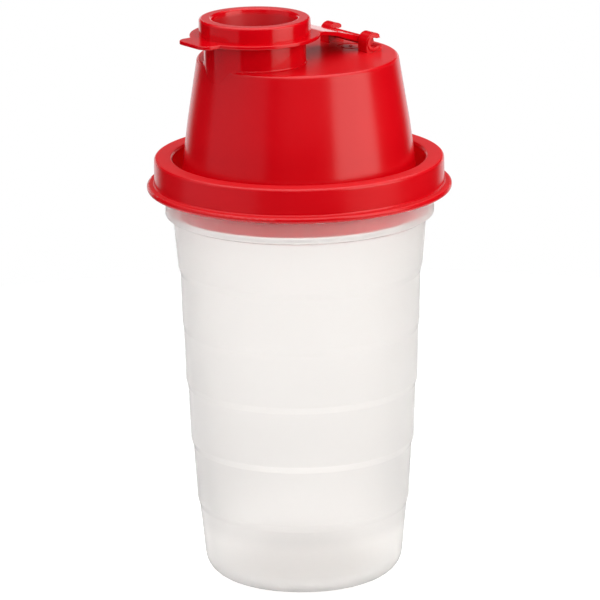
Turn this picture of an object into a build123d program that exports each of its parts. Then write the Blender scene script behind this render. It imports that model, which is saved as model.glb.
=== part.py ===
from build123d import *
import os

os.makedirs("parts", exist_ok=True)

# A shaker bottle for salad dressing, in millimetres. +Z is up, and the origin is the middle of the
# circle that the cup rests on. The spout is on the -X side, the cap's hinge on the +X side.

# Cup
cup_height = 146.5
rim_radius = 46.0
cup_wall = 1.3
base_corner_round = 7.5
floor_thickness = 1.6
floor_rise = 0.8
rest_ring_width = 3.2
step_rise = 2.4
shoulder_rise = 1.0
shoulder_lift_share = 0.7
shoulder_round = 0.5
step_round = 0.8
bead_reach = 1.6
bead_height = 3.2
bead_round = 0.7
rim_round = 0.4
# Each band of the cup: the height of its head as a share of the cup's height, then the radius
# at its foot and at its head as shares of the rim's radius.
band_shares = (
    (0.165, 0.7315, 0.7815),
    (0.313, 0.7967, 0.8217),
    (0.459, 0.8391, 0.8543),
    (0.599, 0.8685, 0.8783),
    (0.734, 0.8870, 0.8957),
    (0.8697, 0.9109, 0.9435),
)

# Lid
seat_gap = 0.05
plug_gap = 0.3
bead_gap = 0.4
ring_thickness = 1.5
plug_depth = 16.5
plug_wall = 1.2
plug_foot_round = 0.5
gutter_depth = 9.0
gutter_width = 2.5
gutter_floor = 1.2
gutter_round = 0.9
skirt_wall = 1.5
skirt_draft = 0.1
skirt_height = 9.25
skirt_foot_round = 0.6
lip_reach = 2.5
lip_height = 2.0
lip_round = 0.85
ring_edge_round = 1.1
dome_height = 34.75
dome_draft = 6.5
dome_bulge = 0.3
dome_bulge_round = 160.0
dome_wall = 1.45
dome_edge_round = 1.3
top_thickness = 1.6
inner_edge_round = 0.8
stop_rib_count = 6
stop_rib_thickness = 1.2
stop_rib_depth = 2.0
stop_rib_height = 6.0
stop_rib_bite = 0.3
gate_radius = 4.9
gate_land_radius = 3.3
gate_depth = 0.25
gate_nub_radius = 0.6

# Spout, part of the lid
neck_radius = 17.24
neck_overhang = 0.84
neck_foot_round = 0.6
neck_wall = 1.18
neck_height = 14.2
neck_bury = 9.0
seat_step = 0.5
seat_step_height = 8.0
neck_mouth_round = 0.3

# Hinge posts, part of the lid
hinge_inset = 11.6
hinge_lift = 3.25
rod_radius = 1.6
rod_gap = 0.08
rod_set_back = 2.6
post_wall = 1.5
post_width = 4.85
post_spacing = 16.6
post_bury = 0.8
head_rise = 0.3
jaw_reach = 2.3
jaw_round = 0.35
snap_width = 2.7
snap_angle = 5.0
boss_wall = 1.3
boss_height = 0.35
boss_round = 0.3

# Flip cap
ring_gap = 0.45
ring_wall = 1.14
ring_taper = 0.35
roof_gap = 0.15
roof_thickness = 1.05
ring_round = 0.9
flange_reach = 3.17
flange_drop = 5.5
flange_thickness = 1.25
plate_round = 0.3
tab_length = 4.9
tab_half_width = 8.4
tab_round = 3.9
strap_gap = 0.3
strap_spread = 18.3
strap_root_round = 1.0
strap_neck_length = 4.2
strap_neck_round = 2.0
strap_lead = 2.4
strap_knee_run = 7.7
strap_knee_drop = 1.65
strap_knee_thickness = 1.5
strap_end_rise = 1.15
strap_end_drop = 1.3
strap_bend_round = 8.0
recess_depth = 8.0
recess_round = 0.8
stopper_gap = 0.5
stopper_taper = 2.1
stopper_wall = 0.95
stopper_floor = 1.2
stopper_round = 0.5

# Mixing insert
insert_gap = 0.3
insert_height = 5.0
insert_rise = 1.5
insert_wall = 1.4
hub_bore_radius = 3.0
middle_ring_share = 0.56
vane_count = 10
vane_thickness = 1.2

# A cut runs this far past the face that it starts from.
overrun = 2.0

# Places that several pieces share
bead_radius = rim_radius + bead_reach
ring_underside = cup_height + seat_gap
ring_top = ring_underside + ring_thickness
plug_foot = ring_underside - plug_depth
gutter_top = ring_top - gutter_depth
gutter_underside = gutter_top - gutter_floor
plug_radius = rim_radius - cup_wall - plug_gap
plug_inner_radius = plug_radius - plug_wall
skirt_radius = bead_radius + bead_gap + skirt_wall
dome_foot_radius = plug_inner_radius - gutter_width
dome_head_radius = dome_foot_radius - dome_draft
lid_top = ring_top + dome_height
dome_rise = lid_top - gutter_top
dome_middle = gutter_top + dome_rise / 2
dome_middle_radius = (dome_foot_radius + dome_head_radius) / 2 + dome_bulge
cavity_top = lid_top - top_thickness
spout_offset = dome_head_radius + neck_overhang - neck_radius
neck_top = lid_top + neck_height
neck_bore_radius = neck_radius - neck_wall
hinge_offset = dome_head_radius - hinge_inset
hinge_height = lid_top + hinge_lift
post_radius = rod_radius + rod_gap + post_wall
boss_radius = rod_radius + rod_gap + boss_wall
cap_roof = neck_top + roof_gap
cap_top = cap_roof + roof_thickness
ring_inner_radius = neck_radius + ring_gap
ring_radius = ring_inner_radius + ring_wall
flange_radius = ring_radius + flange_reach
flange_top = cap_top - flange_drop
flange_underside = flange_top - flange_thickness
insert_foot = gutter_underside + insert_rise
insert_head = insert_foot + insert_height

spout_axis = Axis((-spout_offset, 0, 0), (0, 0, 1))
spout_section = Plane(origin=(-spout_offset, 0, 0), x_dir=(1, 0, 0), z_dir=(0, -1, 0))
hinge_section = Plane(origin=(hinge_offset, 0, hinge_height), x_dir=(1, 0, 0), z_dir=(0, -1, 0))


def rounded_outline(corners):
    """Draws a closed outline from (across, up, rounding) corners."""
    points = [(across, up) for across, up, _ in corners]
    rounds = [rounding for _, _, rounding in corners]
    return FilletPolyline(*points, radius=rounds, close=True)


def dome_wall_radius(height):
    """The radius of the dome's inner wall near its foot."""
    slope = (dome_foot_radius - dome_middle_radius) / (dome_middle - gutter_top)
    return dome_foot_radius - dome_wall - slope * (height - gutter_top)


def post_outline():
    """A hinge post seen along the rod: a round head with a blunt jaw, on a straight foot."""
    with Locations((0, head_rise)):
        Circle(post_radius)
        Rectangle(
            2 * post_radius,
            head_rise + hinge_lift + post_bury,
            align=(Align.CENTER, Align.MAX),
        )
    with Locations((jaw_reach, 0)):
        Rectangle(
            post_radius,
            head_rise + post_radius,
            align=(Align.MIN, Align.MIN),
            mode=Mode.SUBTRACT,
        )


def snap_opening():
    """Cuts the hinge rod's seat and the mouth through which the rod is snapped in."""
    Circle(rod_radius + rod_gap, mode=Mode.SUBTRACT)
    Rectangle(
        post_radius + overrun,
        snap_width,
        rotation=snap_angle,
        align=(Align.MIN, Align.CENTER),
        mode=Mode.SUBTRACT,
    )


def cup_side(inset):
    """One side of the cup's wall from its foot to its rim: (radius, height, rounding) corners."""
    corners = []
    foot = 0
    for head_share, foot_radius_share, head_radius_share in band_shares:
        head = head_share * cup_height
        if foot > 0:
            corners.append((foot_radius_share * rim_radius - inset, foot, step_round))
        if head_share == band_shares[-1][0]:
            head += inset * shoulder_lift_share
        corners.append((head_radius_share * rim_radius - inset, head, step_round))
        foot = head + step_rise
    corners.append((rim_radius - inset, head + shoulder_rise, shoulder_round))
    return corners


# The cup: one thin stepped wall, a floor raised on a resting ring, and a bead round the rim
foot_radius = band_shares[0][1] * rim_radius
floor_top = floor_rise + floor_thickness
inner_corner_round = base_corner_round - cup_wall
rest_ring_outer = foot_radius - base_corner_round
rest_ring_inner = rest_ring_outer - rest_ring_width

with BuildPart() as cup:
    with BuildSketch(Plane.XZ):
        with BuildLine():
            rounded_outline(
                [(0, floor_rise, 0), (rest_ring_inner, floor_rise, rim_round)]
                + [(rest_ring_inner, 0, rim_round), (foot_radius, 0, base_corner_round)]
                + cup_side(0)
                + [
                    (rim_radius, cup_height - bead_height - bead_reach, rim_round),
                    (bead_radius, cup_height - bead_height, bead_round),
                    (bead_radius, cup_height, bead_round),
                    (rim_radius - cup_wall, cup_height, rim_round),
                ]
                + cup_side(cup_wall)[::-1]
                + [(foot_radius - cup_wall, floor_top, inner_corner_round), (0, floor_top, 0)]
            )
        make_face()
    revolve(axis=Axis.Z)

# The lid: a dome with the spout and the hinge posts on it, a gutter with a wall that plugs the cup's mouth,
# and a skirt with a rounded lip outside the cup's rim
skirt_foot = ring_top - skirt_height
skirt_foot_radius = skirt_radius + skirt_draft
lip_radius = skirt_foot_radius + lip_reach
lip_underside = skirt_foot - lip_height

with BuildPart() as lid:
    with BuildSketch(Plane.XZ):
        with BuildLine():
            rounded_outline(
                [
                    (0, lid_top, 0),
                    (dome_head_radius, lid_top, dome_edge_round),
                    (dome_middle_radius, dome_middle, dome_bulge_round),
                    (dome_foot_radius, gutter_top, gutter_round),
                    (plug_inner_radius, gutter_top, gutter_round),
                    (plug_inner_radius, ring_top, ring_edge_round),
                    (skirt_radius, ring_top, ring_edge_round),
                    (skirt_foot_radius, skirt_foot, skirt_foot_round),
                    (lip_radius, skirt_foot, lip_round),
                    (lip_radius, lip_underside, lip_round),
                    (skirt_foot_radius - skirt_wall, lip_underside, rim_round),
                    (skirt_radius - skirt_wall, ring_underside, 0),
                    (plug_radius, ring_underside, 0),
                    (plug_radius, plug_foot, plug_foot_round),
                    (plug_inner_radius, plug_foot, plug_foot_round),
                    (plug_inner_radius, gutter_underside, plug_foot_round),
                    (0, gutter_underside, 0),
                ]
            )
        make_face()
    revolve(axis=Axis.Z)

    with BuildSketch(spout_section):
        with BuildLine():
            rounded_outline(
                [
                    (0, lid_top - neck_bury, 0),
                    (neck_radius, lid_top - neck_bury, 0),
                    (neck_radius, lid_top + seat_step_height, 0),
                    (neck_radius - seat_step, lid_top + seat_step_height + seat_step, 0),
                    (neck_radius - seat_step, neck_top, neck_mouth_round),
                    (0, neck_top, 0),
                ]
            )
        make_face()
    revolve(axis=spout_axis)

    with BuildSketch(Plane.XZ):
        with BuildLine():
            rounded_outline(
                [
                    (0, gutter_underside - overrun, 0),
                    (dome_wall_radius(gutter_underside), gutter_underside - overrun, 0),
                    (dome_wall_radius(gutter_underside), gutter_underside, 0),
                    (dome_middle_radius - dome_wall, dome_middle, dome_bulge_round),
                    (dome_head_radius - dome_wall, cavity_top, inner_edge_round),
                    (0, cavity_top, 0),
                ]
            )
        make_face()
    revolve(axis=Axis.Z, mode=Mode.SUBTRACT)

    with BuildSketch(spout_section):
        with BuildLine():
            rounded_outline(
                [
                    (0, cavity_top - inner_edge_round, 0),
                    (neck_bore_radius, cavity_top - inner_edge_round, 0),
                    (neck_bore_radius, neck_top, 0),
                    (0, neck_top, 0),
                ]
            )
        make_face()
    revolve(axis=spout_axis, mode=Mode.SUBTRACT)
    mouth_edge = lid.edges().filter_by(GeomType.CIRCLE).group_by(Axis.Z)[-1].sort_by(SortBy.RADIUS)[0]
    fillet(mouth_edge, neck_mouth_round)
    neck_foot = (
        lid.edges()
        .filter_by(GeomType.CIRCLE)
        .filter_by_position(Axis.Z, lid_top - neck_foot_round, lid_top + neck_foot_round)
        .sort_by(SortBy.RADIUS)[:2]
    )
    fillet(neck_foot, neck_foot_round)

    with BuildSketch(Plane.XY.offset(insert_head + seat_gap)):
        with PolarLocations(dome_wall_radius(insert_head) + stop_rib_bite, stop_rib_count):
            Rectangle(stop_rib_depth, stop_rib_thickness, align=(Align.MAX, Align.CENTER))
    extrude(amount=stop_rib_height)

    for toward in (-1, 1):
        with BuildSketch(hinge_section.offset(-toward * post_spacing / 2)) as post:
            post_outline()
            snap_opening()
            fillet(post.vertices().group_by(Axis.X)[-2], jaw_round)
        extrude(amount=post_width, dir=(0, toward, 0))
        with BuildSketch(hinge_section.offset(-toward * (post_spacing / 2 + post_width))):
            Circle(boss_radius)
            snap_opening()
        extrude(amount=boss_height, dir=(0, toward, 0))
    for end in (0, -1):
        boss_face = lid.faces().filter_by(Axis.Y).sort_by(Axis.Y)[end]
        fillet(boss_face.edges().sort_by(SortBy.LENGTH)[-2:], boss_round)

    with BuildSketch(Plane(origin=(hinge_offset, 0, lid_top))):
        Circle(gate_radius)
        Circle(gate_land_radius, mode=Mode.SUBTRACT)
    extrude(amount=-gate_depth, mode=Mode.SUBTRACT)
    with BuildSketch(Plane(origin=(hinge_offset, 0, lid_top))):
        Circle(gate_nub_radius)
    extrude(amount=gate_depth)

# The flip cap: a ring and stopper over the spout, a flange with a finger tab, and a strap down to
# the hinge rod
strap_half_width = post_spacing / 2 - strap_gap
strap_neck = hinge_offset - strap_neck_length
strap_bend = flange_radius - spout_offset - strap_lead
strap_knee = strap_bend + strap_knee_run
strap_knee_top = flange_top - strap_knee_drop
strap_side = [
    (-spout_offset, strap_spread),
    (strap_neck, strap_half_width),
    (hinge_offset, strap_half_width),
]
tab_reach = flange_radius + tab_length
tab_tip = spout_offset + tab_reach
rod_half_length = post_spacing / 2 + post_width + boss_height - rod_set_back
ring_mouth_radius = ring_inner_radius + ring_taper
stopper_radius = neck_bore_radius - stopper_gap
stopper_foot_radius = stopper_radius - stopper_taper
recess_floor = cap_top - recess_depth
stopper_foot = recess_floor - stopper_floor

with BuildPart() as flip_cap:
    with BuildSketch(Plane.XY.offset(lid_top)) as plan:
        with Locations((-spout_offset, 0)):
            Circle(flange_radius)
        Polygon(*strap_side, *[(across, -along) for across, along in strap_side[::-1]], align=None)
        fillet(plan.vertices().sort_by(Axis.X)[2:4], strap_neck_round)
        fillet(plan.vertices().sort_by(Axis.X)[:2], strap_root_round)
        with Locations((-tab_tip, 0)):
            Rectangle(tab_reach, 2 * tab_half_width, align=(Align.MIN, Align.CENTER))
        fillet(plan.vertices().sort_by(Axis.X)[:2], tab_round)
        with Locations((-spout_offset, 0)):
            Circle((ring_mouth_radius + ring_radius) / 2, mode=Mode.SUBTRACT)
    extrude(amount=cap_top - lid_top)

    with BuildSketch(Plane.XZ):
        with BuildLine():
            rounded_outline(
                [
                    (-tab_tip - overrun, flange_underside, 0),
                    (strap_bend, flange_underside, strap_bend_round),
                    (strap_knee, strap_knee_top - strap_knee_thickness, strap_bend_round),
                    (hinge_offset, hinge_height - strap_end_drop, 0),
                    (hinge_offset, hinge_height + strap_end_rise, 0),
                    (strap_knee, strap_knee_top, strap_bend_round),
                    (strap_bend, flange_top, strap_bend_round),
                    (-tab_tip - overrun, flange_top, 0),
                ]
            )
        make_face()
    extrude(amount=flange_radius + overrun, both=True, mode=Mode.INTERSECT)
    for end in (0, -1):
        plate_face = flip_cap.faces().filter_by(Axis.Z).sort_by(Axis.Z)[end]
        fillet(plate_face.outer_wire().edges().sort_by(Axis.X)[:-1], plate_round)

    with BuildSketch(spout_section):
        with BuildLine():
            rounded_outline(
                [
                    (ring_mouth_radius, flange_underside, 0),
                    (ring_radius, flange_underside, 0),
                    (ring_radius, cap_top, ring_round),
                    (stopper_radius - stopper_wall, cap_top, recess_round),
                    (stopper_foot_radius - stopper_wall, recess_floor, recess_round),
                    (0, recess_floor, 0),
                    (0, stopper_foot, 0),
                    (stopper_foot_radius, stopper_foot, stopper_round),
                    (stopper_radius, cap_roof, 0),
                    (ring_inner_radius, cap_roof, 0),
                ]
            )
        make_face()
    revolve(axis=spout_axis)

    with BuildSketch(hinge_section):
        Circle(rod_radius)
    extrude(amount=rod_half_length, both=True)

# The mixing insert: rings and upright vanes that break up the dressing, clipped inside the dome
insert_foot_radius = dome_wall_radius(insert_foot) - insert_gap
insert_head_radius = dome_wall_radius(insert_head) - insert_gap
middle_ring_radius = middle_ring_share * insert_head_radius
vane_reach = insert_head_radius - insert_wall / 2 - hub_bore_radius - insert_wall / 2

with BuildPart() as mixing_insert:
    with BuildSketch(Plane.XY.offset(insert_foot)):
        with PolarLocations(hub_bore_radius + insert_wall / 2, vane_count):
            Rectangle(vane_reach, vane_thickness, align=(Align.MIN, Align.CENTER))
        for ring_outer in (hub_bore_radius + insert_wall, middle_ring_radius):
            Circle(ring_outer)
            Circle(ring_outer - insert_wall, mode=Mode.SUBTRACT)
    extrude(amount=insert_height)
    with BuildSketch(Plane.XZ):
        with BuildLine():
            rounded_outline(
                [
                    (insert_foot_radius - insert_wall, insert_foot, 0),
                    (insert_foot_radius, insert_foot, rim_round),
                    (insert_head_radius, insert_head, rim_round),
                    (insert_head_radius - insert_wall, insert_head, 0),
                ]
            )
        make_face()
    revolve(axis=Axis.Z)

for name, piece in (
    ("cup", cup),
    ("lid", lid),
    ("flip_cap", flip_cap),
    ("mixing_insert", mixing_insert),
):
    piece.part.label = name
    export_step(piece.part, f"parts/{name}.step")
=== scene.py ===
import math

import bpy
from mathutils import Matrix, Vector


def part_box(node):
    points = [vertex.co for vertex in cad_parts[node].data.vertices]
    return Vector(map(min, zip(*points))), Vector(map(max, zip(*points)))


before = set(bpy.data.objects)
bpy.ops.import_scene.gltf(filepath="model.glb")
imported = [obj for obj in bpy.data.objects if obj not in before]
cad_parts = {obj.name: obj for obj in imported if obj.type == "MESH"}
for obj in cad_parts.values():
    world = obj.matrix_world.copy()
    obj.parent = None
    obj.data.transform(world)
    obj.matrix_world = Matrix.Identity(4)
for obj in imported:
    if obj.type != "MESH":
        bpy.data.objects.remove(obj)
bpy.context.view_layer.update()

# The box that the imported solids fill, whose tops set the heights below
lid_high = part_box("lid")[1]
cup_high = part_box("cup")[1]
cap_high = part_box("flip_cap")[1]

# Sizes of the solids, for the places where a finish changes
mm = 0.001
neck_height = 14.2 * mm
ring_rise = 1.55 * mm
gutter_radius = 43.2 * mm
neck_place = Vector((-17.8 * mm, 0, 0))
recess_radius = 15.0 * mm
recess_depth = 8.0 * mm
lid_top = lid_high.z - neck_height
ring_top = cup_high.z + ring_rise
cap_top = cap_high.z
recess_floor = cap_top - recess_depth

# Camera: where the photograph was taken from
camera_azimuth = math.radians(-36.3)
camera_distance = 1.4512
camera_height = 0.4964
camera_pitch = math.radians(15.404)
camera_roll = math.radians(-0.75)
camera_offset = -0.0003
sensor_width = 36.0
lens = 262.37

toward_camera = Vector((math.sin(camera_azimuth), -math.cos(camera_azimuth), 0))
image_right = Vector((math.cos(camera_azimuth), math.sin(camera_azimuth), 0))
upward = Vector((0, 0, 1))
level_part = (1, 1, 0)
white = (1, 1, 1, 1)


def link(thing):
    bpy.context.scene.collection.objects.link(thing)
    return thing


def make_camera():
    data = bpy.data.cameras.new("camera")
    data.lens = lens
    data.sensor_width = sensor_width
    camera = link(bpy.data.objects.new("camera", data))
    backward = toward_camera * math.cos(camera_pitch) + upward * math.sin(camera_pitch)
    turn = Matrix((image_right, backward.cross(image_right), backward)).transposed().to_4x4()
    spot = toward_camera * camera_distance + image_right * camera_offset + upward * camera_height
    camera.matrix_world = Matrix.Translation(spot) @ turn @ Matrix.Rotation(camera_roll, 4, "Z")
    bpy.context.scene.camera = camera


# A noise between these values becomes a blotchy pattern between 0 and 1
noise_limits = (0.3, 0.7)


class Shader:
    """A material's or a world's nodes, made and wired in one line each.

    Limits are a pair: the value where a change starts and the value where it is complete.
    """

    def __init__(self, owner):
        owner.use_nodes = True
        self.tree = owner.node_tree
        self.tree.nodes.clear()
        kind = "World" if isinstance(owner, bpy.types.World) else "Material"
        self.output = self.add("Output" + kind)

    def add(self, kind, inputs=(), **settings):
        node = self.tree.nodes.new("ShaderNode" + kind)
        for name, value in settings.items():
            setattr(node, name, value)
        for key, value in dict(inputs).items():
            if isinstance(value, bpy.types.NodeSocket):
                self.tree.links.new(value, node.inputs[key])
            else:
                node.inputs[key].default_value = value
        return node

    def math(self, operation, first, second=0.0):
        return self.add("Math", {0: first, 1: second}, operation=operation).outputs[0]

    def product(self, first, *others):
        for other in others:
            first = self.math("MULTIPLY", first, other)
        return first

    def ramp(self, value, limits, low=0.0, high=1.0):
        """low until the value reaches the first limit, high past the second, smooth between."""
        start, end = limits
        inputs = {"Value": value, "From Min": start, "From Max": end, "To Min": low, "To Max": high}
        return self.add("MapRange", inputs, interpolation_type="SMOOTHSTEP").outputs["Result"]

    def dot(self, vector, axis):
        return self.add("VectorMath", {0: vector, 1: axis}, operation="DOT_PRODUCT").outputs["Value"]

    def distance(self, place, centre):
        return self.add("VectorMath", {0: place, 1: centre}, operation="DISTANCE").outputs["Value"]

    def blend(self, factor, first, second):
        """A number between first and second."""
        return self.add("Mix", {"Factor": factor, "A": first, "B": second}).outputs[0]

    def mix(self, factor, first, second):
        """A colour between first and second."""
        return self.add("Mix", {0: factor, 6: first, 7: second}, data_type="RGBA").outputs[2]

    def place(self):
        return self.add("TexCoord").outputs["Object"]

    def uprightness(self):
        """1 where the surface faces up, 0 where it faces sideways and -1 where it faces down."""
        return self.dot(self.add("NewGeometry").outputs["Normal"], upward)

    def noise(self, place, scale, detail=3.0):
        return self.add("TexNoise", {"Vector": place, "Scale": scale, "Detail": detail}).outputs[0]

    def backdrop_rays(self):
        """1 for the rays that show the studio itself: straight from the camera or through the cup."""
        rays = self.add("LightPath").outputs
        return self.math("MAXIMUM", rays["Is Camera Ray"], rays["Is Transmission Ray"])

    def finish(self, shader):
        self.tree.links.new(shader.outputs[0], self.output.inputs["Surface"])


def new_material(name):
    material = bpy.data.materials.new(name)
    return material, Shader(material)


# Studio: a white backdrop and a pale ceiling round a dark room, where the camera stands.
# Its limits compare a ray's direction with straight up, and for the sides with the way to the camera.
background_strength = 1.0
dark_side = 0.01
ceiling = 1.9
ceiling_limits = (0.55, 0.9)
backdrop_foot = 1.0
backdrop_head = 0.05
backdrop_heights = (0.08, 0.26)
backdrop_sides = (-0.75, -0.93)


def make_world():
    world = bpy.data.worlds.new("studio")
    bpy.context.scene.world = world
    shader = Shader(world)
    direction = shader.add("TexCoord").outputs["Generated"]
    toward = shader.dot(direction, toward_camera)
    height = shader.dot(direction, upward)
    brightness = shader.ramp(height, backdrop_heights, backdrop_foot, backdrop_head)
    behind = shader.product(shader.ramp(toward, backdrop_sides), brightness)
    overhead = shader.ramp(height, ceiling_limits, dark_side, ceiling)
    around = shader.math("MAXIMUM", behind, overhead)
    strength = shader.blend(shader.backdrop_rays(), around, background_strength)
    shader.finish(shader.add("Background", {"Color": white, "Strength": strength}))


# Floor: a pale disc that is lifted towards white where the camera sees it, and lifted further near the
# middle as painted light that washes out the object's shadow there
floor_radius = 0.4
floor_corners = 96
floor_paint = (0.72, 0.72, 0.72, 1)
floor_lift = 0.27
foot_painted_light = 0.6
foot_limits = (0.045, 0.1)


def make_floor():
    material, shader = new_material("floor")
    paint = shader.add("BsdfDiffuse", {"Color": floor_paint})
    seen = shader.backdrop_rays()
    from_middle = shader.distance(shader.place(), Vector())
    # Painted light: the lift is stronger near the middle, where the object's shadow falls
    level = shader.ramp(from_middle, foot_limits, foot_painted_light, floor_lift)
    strength = shader.product(seen, level)
    lift = shader.add("Emission", {"Color": white, "Strength": strength})
    shader.finish(shader.add("AddShader", {0: paint.outputs[0], 1: lift.outputs[0]}))
    mesh = bpy.data.meshes.new("floor")
    turns = [2 * math.pi * corner / floor_corners for corner in range(floor_corners)]
    rim = [Vector((math.cos(turn), math.sin(turn), 0)) * floor_radius for turn in turns]
    mesh.from_pydata(rim, [], [list(range(floor_corners))])
    mesh.materials.append(material)
    floor = link(bpy.data.objects.new("floor", mesh))


# Lamps: the softboxes show in the gloss, and the fills light the object without showing there
warm_white = (1.0, 0.97, 0.9)
cool_white = (0.85, 0.9, 1.0)
plain_white = (1, 1, 1)
fill_span = 60
fill_distance = 1.2
fill_low = 0.3
fill_high = 1.6


def make_softbox(name, side_angle, span, distance, low, high, radiance, colour, glossy=True):
    """A flat lamp beside the object, from the height low to the height high.

    side_angle is its place to the right of the camera in degrees, and span is the angle it covers.
    """
    angle = math.radians(side_angle)
    outward = toward_camera * math.cos(angle) + image_right * math.sin(angle)
    data = bpy.data.lights.new(name, "AREA")
    data.shape = "RECTANGLE"
    data.size = 2 * distance * math.tan(math.radians(span / 2))
    data.size_y = high - low
    data.energy = radiance * math.pi * data.size * data.size_y
    data.color = colour
    lamp = link(bpy.data.objects.new(name, data))
    lamp.location = outward * distance + upward * (low + high) / 2
    lamp.rotation_mode = "QUATERNION"
    lamp.rotation_quaternion = outward.to_track_quat("Z", "Y")
    lamp.visible_camera = False
    lamp.visible_glossy = glossy


def make_fill(name, side_angle, radiance):
    make_softbox(
        name, side_angle, fill_span, fill_distance, fill_low, fill_high,
        radiance, plain_white, glossy=False
    )


def dress(node, material):
    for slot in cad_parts[node].material_slots:
        slot.material = material


# Red plastic: glossy above the lid's flat top and satin below, with painted light that makes the gutter
# lighter and painted shade that makes the recess of the cap darker
red_low = (0.60, 0.0006, 0.005, 1)
red_high = (0.64, 0.0008, 0.0055, 1)
# Painted light: a lighter red for the gutter, standing in for light that falls into it
gutter_painted_light_red = (0.8, 0.0012, 0.0065, 1)
# Painted shade: a darker red for the recess of the cap
recess_painted_shade_red = (0.45, 0.0004, 0.0035, 1)
red_index = 1.5
cloud_scale = 30.0
grain_scale = 1400.0
grain_detail = 2.0
grain_strength = 0.05
grain_depth = 0.05 * mm
lid_roughness = 0.23
red_gloss = 0.12
recess_roughness = 0.4
ring_roughness = 0.57
top_roughness = 0.33
roughness_spread = 0.02
gloss_heights = (lid_top - 0.6 * mm, lid_top - 0.1 * mm)
gutter_edge = (gutter_radius + 0.4 * mm, gutter_radius + 0.1 * mm)
gutter_heights = (ring_top - 0.8 * mm, ring_top - 2.5 * mm)
recess_edge = (recess_radius + 0.4 * mm, recess_radius)
recess_heights = (cap_top - 0.8 * mm, cap_top - 2.5 * mm)
recess_foot = (recess_floor - 0.5 * mm, recess_floor - 0.1 * mm)
flat_limits = (0.8, 0.95)
flat_heights = (lid_top + 2 * mm, lid_top + 1 * mm)


def red_plastic(name, satin_roughness):
    material, shader = new_material(name)
    place = shader.place()
    height = shader.dot(place, upward)
    in_plan = shader.add("VectorMath", {0: place, 1: level_part}, operation="MULTIPLY").outputs["Vector"]
    in_gutter = shader.ramp(shader.distance(in_plan, Vector()), gutter_edge)
    # Painted light: the mask of the gutter, where the red is made lighter
    gutter_painted_light = shader.product(in_gutter, shader.ramp(height, gutter_heights))
    # Painted shade: the mask of the cap's recess, where the red is made darker and rougher
    in_recess = shader.ramp(shader.distance(in_plan, neck_place), recess_edge)
    below_rim = shader.ramp(height, recess_heights)
    recess_painted_shade_and_roughness = shader.product(in_recess, below_rim, shader.ramp(height, recess_foot))
    flat = shader.product(
        shader.ramp(shader.uprightness(), flat_limits), shader.ramp(height, flat_heights)
    )

    cloud = shader.noise(place, cloud_scale)
    colour = shader.mix(shader.ramp(cloud, noise_limits), red_low, red_high)
    # Painted light in the gutter
    colour = shader.mix(gutter_painted_light, colour, gutter_painted_light_red)
    # Painted shade in the recess of the cap
    colour = shader.mix(recess_painted_shade_and_roughness, colour, recess_painted_shade_red)

    rough = shader.blend(shader.ramp(height, gloss_heights), satin_roughness, red_gloss)
    rough = shader.blend(recess_painted_shade_and_roughness, rough, recess_roughness)
    flat_roughness = shader.ramp(height, (ring_top, lid_top), ring_roughness, top_roughness)
    rough = shader.blend(flat, rough, flat_roughness)
    wander = shader.ramp(cloud, noise_limits, -roughness_spread, roughness_spread)
    rough = shader.math("ADD", rough, wander)

    grain = shader.noise(place, grain_scale, grain_detail)
    bump = {"Strength": grain_strength, "Distance": grain_depth, "Height": grain}
    normal = shader.add("Bump", bump).outputs[0]
    inputs = {"Base Color": colour, "Roughness": rough, "Normal": normal, "IOR": red_index}
    shader.finish(shader.add("BsdfPrincipled", inputs))
    return material


# Cup: milky and see-through, with painted light that makes it paler towards the rim and round its floor,
# painted highlights at the steps, and painted shade that makes it dimmer between the floor and the
# middle
milk_low = (0.905, 0.892, 0.88, 1)
milk_high = (0.915, 0.902, 0.89, 1)
# Painted shade: a dimmer milk between the floor and the middle
milk_painted_shade = (0.865, 0.853, 0.842, 1)
# Painted light: a paler milk for the rim, the steps and round the floor
milk_painted_light = (0.965, 0.951, 0.937, 1)
cup_cloud_scale = 40.0
cup_index = 1.3
cup_transmission = 0.9
cup_roughness_low = 0.45
cup_roughness_high = 0.5
dim_heights = (65 * mm, 30 * mm)
floor_heights = (21 * mm, 16 * mm)
foot_heights = (3 * mm, 8 * mm)
foot_share = 0.4
painted_light_heights = (60 * mm, 125 * mm)
step_tilt = (0.12, 0.3)
step_heights = (24 * mm, 29 * mm)


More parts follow.
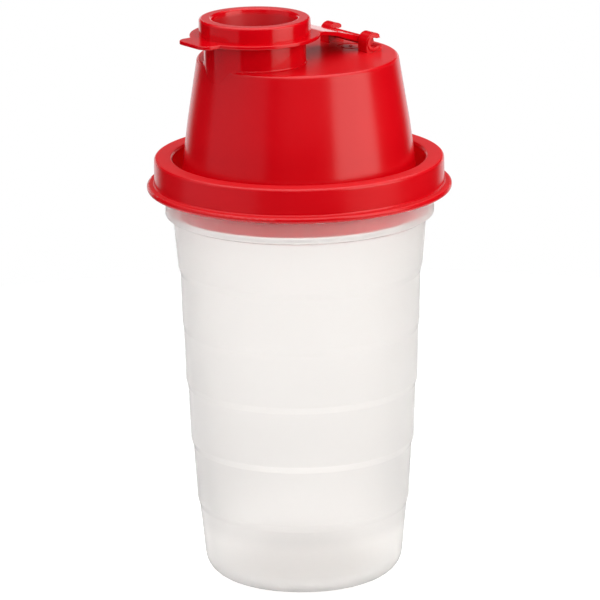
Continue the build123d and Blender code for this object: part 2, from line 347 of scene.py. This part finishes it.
def cup_plastic():
    material, shader = new_material("cup_plastic")
    place = shader.place()
    height = shader.dot(place, upward)
    tilt = shader.math("ABSOLUTE", shader.uprightness())
    # Painted light round the cup's floor
    painted_foot_light = shader.product(
        shader.ramp(height, floor_heights), shader.ramp(height, foot_heights, foot_share)
    )
    # Painted highlights at the steps
    painted_step_highlight = shader.product(shader.ramp(tilt, step_tilt), shader.ramp(height, step_heights))

    cloud = shader.noise(place, cup_cloud_scale)
    colour = shader.mix(shader.ramp(cloud, noise_limits), milk_low, milk_high)
    # Painted shade between the floor and the middle
    colour = shader.mix(shader.ramp(height, dim_heights), colour, milk_painted_shade)
    # Painted light towards the rim and round the floor, and painted highlights at the steps
    for painted_light in (painted_foot_light, shader.ramp(height, painted_light_heights), painted_step_highlight):
        colour = shader.mix(painted_light, colour, milk_painted_light)

    inputs = {
        "Base Color": colour,
        "Roughness": shader.ramp(cloud, noise_limits, cup_roughness_low, cup_roughness_high),
        "IOR": cup_index,
        "Transmission Weight": cup_transmission,
    }
    shader.finish(shader.add("BsdfPrincipled", inputs))
    return material


# Mixing insert: natural white plastic
insert_low = (0.86, 0.85, 0.82, 1)
insert_high = (0.9, 0.89, 0.86, 1)
insert_cloud_scale = 60.0
insert_roughness = 0.35


def insert_plastic():
    material, shader = new_material("insert_plastic")
    cloud = shader.noise(shader.place(), insert_cloud_scale)
    colour = shader.mix(shader.ramp(cloud, noise_limits), insert_low, insert_high)
    shader.finish(shader.add("BsdfPrincipled", {"Base Color": colour, "Roughness": insert_roughness}))
    return material


make_camera()
make_world()
make_floor()
make_softbox(
    "right_softbox", side_angle=60, span=48, distance=0.7, low=0.035, high=0.7,
    radiance=2.1, colour=warm_white
)
make_softbox(
    "left_softbox", side_angle=-68, span=70, distance=0.9, low=-0.2, high=0.9,
    radiance=0.3, colour=cool_white
)
make_fill("front_fill", side_angle=10, radiance=1.6)
make_fill("left_fill", side_angle=-90, radiance=1.35)
make_fill("right_fill", side_angle=100, radiance=1.0)
dress("lid", red_plastic("lid_plastic", lid_roughness))
dress("flip_cap", red_plastic("cap_plastic", red_gloss))
dress("cup", cup_plastic())
dress("mixing_insert", insert_plastic())

bpy.context.scene.view_settings.view_transform = "Standard"
